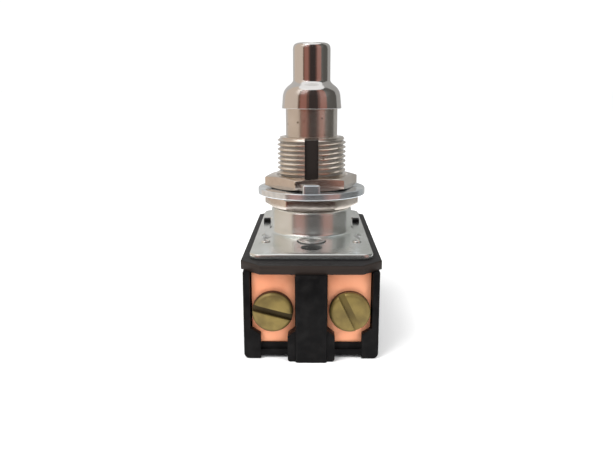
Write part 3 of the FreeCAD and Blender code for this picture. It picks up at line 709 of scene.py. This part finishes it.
def disc_rivets():
    """Wide round heads in front of and behind the collar, each with a raised rim."""
    foot, seat, rim, dish = bottom("disc_rivets"), PLATE_TOP - 0.38, 21.76, 21.55
    head_radius = 2.93
    heads = []
    for end in ENDS.values():
        head = lathe("disc", [
            (0, foot), (2.2, foot, 0.2), (2.2, foot + 0.35), (DISC_SHANK, foot + 0.35),
            (DISC_SHANK, seat), (head_radius, seat), (head_radius, rim, 0.15), (2.5, rim, 0.12),
            (2.3, dish, 0.12), (1.7, dish, 0.2), (1.4, 21.66, 0.1), (0, 21.7)], steps=64)
        heads.append(moved(head, 0, end * DISC_Y))
    return fit(smooth(joined("rivets_wide", heads), 50), "housing", FINISHES["zinc_steel"],
               "disc_rivets")


def corner_rivets():
    """Small tubular rivets near the plate's corners."""
    foot, rim, hollow = bottom("corner_rivets"), 21.68, 0.4
    heads = []
    for end in ENDS.values():
        for side in SIDES.values():
            head = lathe("rivet", [
                (0, foot), (1.15, foot, 0.1), (1.15, foot + 0.3), (RIVET_SHANK, foot + 0.3),
                (RIVET_SHANK, PLATE_TOP), (1.0, PLATE_TOP), (0.97, rim, 0.18), (0.5, rim, 0.1),
                (hollow, 21.3), (hollow, 19.6), (0, 19.6)], steps=32)
            heads.append(moved(head, side * RIVET_X, end * RIVET_Y))
    return fit(smooth(joined("rivets_small", heads), 50), "housing", FINISHES["zinc_steel"],
               "corner_rivets")


def terminal_screw(end_name, side_name):
    """A binding-head screw: low domed head, undercut rim, driver slot and plain shank."""
    end, side = ENDS[end_name], SIDES[side_name]
    tip, seat, crown, shank, head = -7.5, 0.02, 2.22, 2.03, 4.15
    screw = lathe("screw", [
        (0, tip), (1.5, tip), (shank, tip + 0.5), (shank, seat), (head - 0.25, seat),
        (head, seat + 0.25, 0.15), (head, crown - 0.5, 0.25), (head - 0.6, crown - 0.1, 0.3),
        (2.0, crown - 0.01, 0.5), (0, crown)])
    slot_half, slot_deep = 0.7, 0.92
    carve(screw, brick("slot", (-6, -slot_half, crown - slot_deep), (6, slot_half, crown + 1)))
    bevel(screw, 0.07, angle=40)
    lie = Matrix.Rotation(math.radians(-90 * end), 4, "X")
    spin = Matrix.Rotation(math.radians(-SLOT_TURN[end_name, side_name]), 4, "Z")
    place = Matrix.Translation(Vector((side * SCREW_X, end * BLADE_FACE, SCREW_Z)) * MM)
    screw.matrix_world = place @ lie @ spin
    settle(screw)
    screw.name = f"screw_{end_name}_{side_name}"
    return fit(smooth(screw, 35), "housing", FINISHES["brass"],
               f"terminal_screw_{end_name}_{side_name}")


def refined(node, body, finish, width):
    """A merged copy of a CAD node with its sharp edges eased; it stands for the node."""
    copy = frame["nodes"][node].copy()
    copy.data = copy.data.copy()
    copy.parent = None
    for key in list(copy.keys()):
        del copy[key]
    bpy.context.scene.collection.objects.link(copy)
    copy.name = node + "_eased"
    pick(copy)
    bpy.ops.object.mode_set(mode="EDIT")
    bpy.ops.mesh.select_all(action="SELECT")
    bpy.ops.mesh.remove_doubles(threshold=1e-6)
    bpy.ops.mesh.dissolve_limited(angle_limit=math.radians(0.6))
    bpy.ops.object.mode_set(mode="OBJECT")
    bevel(copy, width)
    return fit(smooth(copy, 40), body, finish, node)


def build():
    threaded_bushing()
    panel_nut("nut_lower", LOWER_NUT, 28.6, "housing", "lower_nut")
    panel_nut("nut_upper", UPPER_NUT, 41.0, "panel_nut", "upper_nut")
    tab_washer()
    button_cap()
    plunger_sleeve()
    mounting_plate()
    disc_rivets()
    corner_rivets()
    for end_name in ENDS:
        for side_name in SIDES:
            terminal_screw(end_name, side_name)
            refined(f"terminal_{end_name}_{side_name}", "housing", FINISHES["copper"], 0.1)
    over = coil_spring("spring_overtravel", 3.9, 0.9, 10, "plunger", "overtravel_spring")
    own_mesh(over)
    back = coil_spring("spring_return", 2.0, 0.6, 4, "housing", "return_spring")
    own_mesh(back)
    coil_spring("spring_contact", 1.8, 0.45, 4, "carrier", "contact_spring")
    refined("contact_block", "housing", FINISHES["phenolic"], 0.12)
    refined("cover_plate", "housing", FINISHES["cover_laminate"], 0.1)


def paint_the_rest():
    """Every CAD node that is still shown takes its finish from its material slot."""
    slots = {entry["node"]: entry["material_slot"] for entry in frame["record"]["subparts"]}
    for name, node in frame["nodes"].items():
        if not node.hide_render:
            node.data.materials.clear()
            node.data.materials.append(FINISHES[slots[name]].material)


# ------------------------------------------------------------------ stage, light and camera
def lay_floor():
    deselect()
    bpy.ops.mesh.primitive_plane_add(size=40, location=(0, 0, -0.00002))
    floor = bpy.context.object
    floor.name = "floor"
    paper = Finish("floor paper", None, Base_Color=rgb(.955, .955, .955), Roughness=0.9)
    floor.data.materials.append(paper.material)


def reflection_card(start, end, colour):
    """An upright curved card that only reflections see, between two bearings from the front."""
    distance, low, high, folds = 95, -5, 215, 12
    bearings = [math.radians(start + (end - start) * fold / folds) for fold in range(folds + 1)]
    card = chain("card", [(math.sin(bearing) * distance, -math.cos(bearing) * distance, low)
                          for bearing in bearings])
    bpy.ops.mesh.select_all(action="SELECT")
    bpy.ops.mesh.extrude_region_move(
        TRANSFORM_OT_translate={"value": (0, 0, (high - low) * MM)})
    bpy.ops.object.mode_set(mode="OBJECT")
    glow = Finish("card", None, Base_Color=rgb(0, 0, 0), Roughness=1.0, Specular_IOR_Level=0.0,
                  Emission_Color=colour, Emission_Strength=1.0)
    card.data.materials.append(glow.material)
    for ray in ("camera", "diffuse", "transmission", "volume_scatter", "shadow"):
        setattr(card, "visible_" + ray, False)


def hang_cards():
    """What stands round the camera, as the polished parts mirror it: bearings and colours."""
    for start, end, colour in (
            (-176, -128, rgb(.60, .58, .56)), (-128, -53, rgb(.70, .585, .49)),
            (-53, -44, rgb(.17, .09, .06)), (-44, -19, rgb(.35, .155, .12)),
            (-19, -10, rgb(.14, .075, .06)), (-10, 24, rgb(.048, .036, .033)),
            (24, 33, rgb(.16, .08, .065)), (33, 59, rgb(.34, .155, .12)),
            (59, 112, rgb(.115, .110, .10)), (112, 176, rgb(.42, .415, .40))):
        reflection_card(start, end, colour)


def soft_light(name, place, power):
    """A square lamp of 0.4 m that looks at the contact block."""
    light = bpy.data.lights.new(name, "AREA")
    light.shape, light.size, light.energy = "SQUARE", 0.4, power
    lamp = bpy.data.objects.new(name, light)
    bpy.context.scene.collection.objects.link(lamp)
    lamp.location = place
    aim = Vector((0, 0, 0.02)) - Vector(place)
    lamp.rotation_euler = aim.to_track_quat("-Z", "Y").to_euler()


def light_studio():
    world = bpy.data.worlds.new("white room")
    bpy.context.scene.world = world
    world.use_nodes = True
    sky = world.node_tree.nodes["Background"]
    sky.inputs["Color"].default_value = rgb(1, 1, 1)
    sky.inputs["Strength"].default_value = 1.06
    soft_light("key", (-0.35, -0.35, 0.55), 4.0)
    soft_light("fill", (0.5, -0.4, 0.35), 1.5)
    bpy.context.scene.view_settings.view_transform = "Standard"


def set_camera():
    """The camera stands at the cap's shoulder, in front, and looks down along the block."""
    down, aside = 12.73, 0.49
    lens = bpy.data.cameras.new("camera")
    lens.sensor_width, lens.lens = 36.0, 36.71
    lens.clip_start, lens.clip_end = 0.01, 20
    camera = bpy.data.objects.new("camera", lens)
    bpy.context.scene.collection.objects.link(camera)
    camera.location = Vector((0.07, -146.11, 54.05)) * MM
    camera.rotation_euler = (math.radians(90 - down), 0, math.radians(aside))
    bpy.context.scene.camera = camera


build()
paint_the_rest()
lay_floor()
hang_cards()
light_studio()
set_camera()
deselect()
